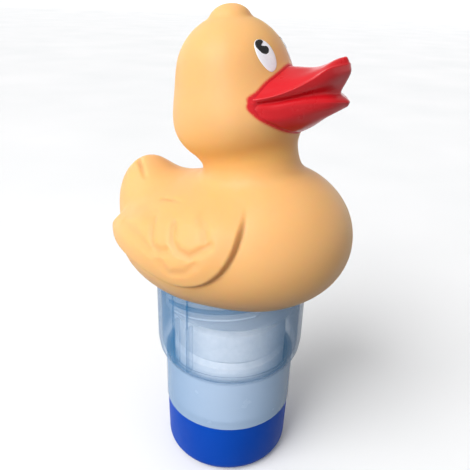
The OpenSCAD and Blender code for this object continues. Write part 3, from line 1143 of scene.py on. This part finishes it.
def patch_on_head(name, side, line, core, lift):
    """A thin painted patch that lies on the head inside the given outline."""
    rings, spokes = 16, 120
    t, r = math.radians(EYE_TURN), math.radians(EYE_RISE)
    across = np.array([math.sin(t), -math.cos(t), 0])
    up = np.array([-math.sin(r) * math.cos(t), -math.sin(r) * math.sin(t), math.cos(r)])
    edge = closed_curve(line, spokes)
    core = np.array(core)
    uv, height = [core], [lift]
    for i in range(1, rings + 1):
        f = 1 - (1 - i / rings) ** 1.6
        uv += list(core + (edge - core) * f)
        height += [lift * math.sqrt(max(0.0, 1 - f ** 10))] * spokes
    uv = np.array(uv)
    flat = EYE_MIDDLE + across * uv[:, :1] + up * uv[:, 1:]
    base = onto_surface(duck_field, flat, 8)
    grad = field_gradient(duck_field, base)
    grad /= np.linalg.norm(grad, axis=1, keepdims=True)
    # The underside lies 1 mm inside the head
    verts = np.vstack([base + grad * np.array(height)[:, None], base - grad])
    verts[:, 1] *= side
    obj = new_object(name, verts, patch_net(rings, spokes, len(uv)))
    fix_normals(obj)
    smooth_by_angle(obj, 50)
    return obj


for side, word in ((-1, "right"), (1, "left")):
    white = patch_on_head(word + "_eye", side, WHITE_LINE, WHITE_CORE, WHITE_LIFT)
    place(white, "float", word + "_eye_white", "eye_white", EYE_WHITE)
    black = patch_on_head(word + "_pupil_dot", side, PUPIL_LINE, PUPIL_CORE, PUPIL_LIFT)
    place(black, "float", word + "_pupil", "eye_black", EYE_BLACK)

# ------------------------------------------------------------------ floor, lights and camera

# A round studio floor that sweeps up far behind the object on every side: (radius, z)
SWEEP = [(300, 0), (4000, 0), (8000, 0), (9600, 130), (10600, 600), (11200, 1400), (11500, 2600),
         (11600, 4200)]


def make_floor():
    segments = 96
    verts = [(0, 0, 0)]
    faces = []
    for i, (radius, z) in enumerate(SWEEP):
        for k in range(segments):
            a = 2 * math.pi * k / segments
            verts.append((radius * math.cos(a), radius * math.sin(a), z))
            m = (k + 1) % segments
            if i == 0:
                faces.append((0, 1 + k, 1 + m))
            else:
                inner, outer = 1 + (i - 1) * segments, 1 + i * segments
                faces.append((inner + k, outer + k, outer + m, inner + m))
    return new_object("floor", verts, faces)


def floor_paint():
    """Pale and matt. The sweep glows a little, so that it is pale from every side."""
    look = Look("floor_pale")
    mottle = look.noise(3, 2)
    look.base(look.colours(mottle, linear(238, 239, 240), linear(244, 244, 245)))
    look.set(Roughness=0.75, Emission_Color=(1, 1, 1, 1))
    glow = look.remap(look.axis("Z"), 0.02, 0.5, 0, 0.7)
    look.link(glow, look.shader.inputs["Emission Strength"])
    return look.mat


floor = make_floor()
give(floor, floor_paint())
# The floor throws no light back up under the duck
floor.visible_diffuse = False

# The camera stands at the photograph's angle: turned from the duck's right side, in degrees
CAMERA_TURN = 25.0
CAMERA_AWAY = 301.3
CAMERA_UP = 301.3
CAMERA_DOWN = 24.8
CAMERA_ROLL = 1.9
SENSOR = 36.0
# In the photograph's pixels
FOCAL_PX = 520.0
SHIFT_PX = 2
PHOTO_WIDTH = 470


def direction(turn, rise):
    """The unit way from the object to something; turn and rise are in degrees, as the camera's."""
    t, r = math.radians(turn), math.radians(rise)
    return Vector((math.sin(t) * math.cos(r), -math.cos(t) * math.cos(r), math.sin(r)))


def add_lamp(name, kind, energy):
    data = bpy.data.lights.new(name, kind)
    data.energy = energy
    lamp = bpy.data.objects.new(name, data)
    bpy.context.scene.collection.objects.link(lamp)
    return lamp


def point_along(lamp, way):
    lamp.rotation_euler = way.to_track_quat("-Z", "Y").to_euler()


def area_light(name, offset, aim, size, watts):
    """A soft round lamp at an offset from the point it is aimed at, in metres."""
    lamp = add_lamp(name, "AREA", watts)
    lamp.data.shape = "DISK"
    lamp.data.size = size
    lamp.location = aim + offset
    point_along(lamp, -offset)
    return lamp


def sun_light(name, turn, rise, strength, spread):
    """A broad, far lamp that lights the floor evenly; spread is its angle in degrees."""
    lamp = add_lamp(name, "SUN", strength)
    lamp.data.angle = math.radians(spread)
    point_along(lamp, -direction(turn, rise))


# The low lamp only lights the pieces below the duck
low_way = direction(CAMERA_TURN - 12, 0) + Vector((0, 0, 0.12))
low_fill = area_light("low_fill", low_way * 0.5, Vector((0, 0, 0.1)), 0.4, 2.2)
lit = bpy.data.collections.new("lit_by_low_fill")
for obj in (canister, socket, *tablets):
    lit.objects.link(obj)
low_fill.light_linking.receiver_collection = lit
sun_light("key", CAMERA_TURN - 48, 45, 2.3, 40)
area_light("window", direction(CAMERA_TURN - 30, 24), Vector((0, 0, 0.16)), 0.5, 2.6)


def make_world():
    """Soft surroundings, brightest above and to the photograph's left."""
    world = bpy.data.worlds.new("studio")
    bpy.context.scene.world = world
    world.use_nodes = True
    nodes, links = world.node_tree.nodes, world.node_tree.links
    facing = nodes.new("ShaderNodeVectorMath")
    facing.operation = "DOT_PRODUCT"
    turn = math.radians(CAMERA_TURN)
    bright_way = Vector((-math.cos(turn) * 0.62, -math.sin(turn) * 0.62, 0.78))
    facing.inputs[1].default_value = bright_way.normalized()
    links.new(nodes.new("ShaderNodeTexCoord").outputs["Generated"], facing.inputs[0])
    strength = nodes.new("ShaderNodeMapRange")
    links.new(facing.outputs["Value"], strength.inputs["Value"])
    for key, value in (("From Min", -1), ("From Max", 1), ("To Min", 0.05), ("To Max", 0.72)):
        strength.inputs[key].default_value = value
    links.new(strength.outputs[0], nodes["Background"].inputs["Strength"])
    nodes["Background"].inputs["Color"].default_value = (1, 1, 1, 1)


def make_camera():
    data = bpy.data.cameras.new("camera")
    data.sensor_width = SENSOR
    data.lens = FOCAL_PX / PHOTO_WIDTH * SENSOR
    data.shift_x = SHIFT_PX / PHOTO_WIDTH
    data.clip_start = 0.01
    camera = bpy.data.objects.new("camera", data)
    place = direction(CAMERA_TURN, 0) * CAMERA_AWAY + Vector((0, 0, CAMERA_UP))
    camera.location = place * MM
    turned = Matrix.Rotation(math.radians(CAMERA_TURN), 4, "Z")
    look_down = Matrix.Rotation(math.radians(90 - CAMERA_DOWN), 4, "X")
    roll = Matrix.Rotation(math.radians(CAMERA_ROLL), 4, "Z")
    camera.rotation_euler = (turned @ look_down @ roll).to_euler("XYZ")
    bpy.context.scene.collection.objects.link(camera)
    bpy.context.scene.camera = camera


make_world()
make_camera()
bpy.context.scene.view_settings.view_transform = "Standard"
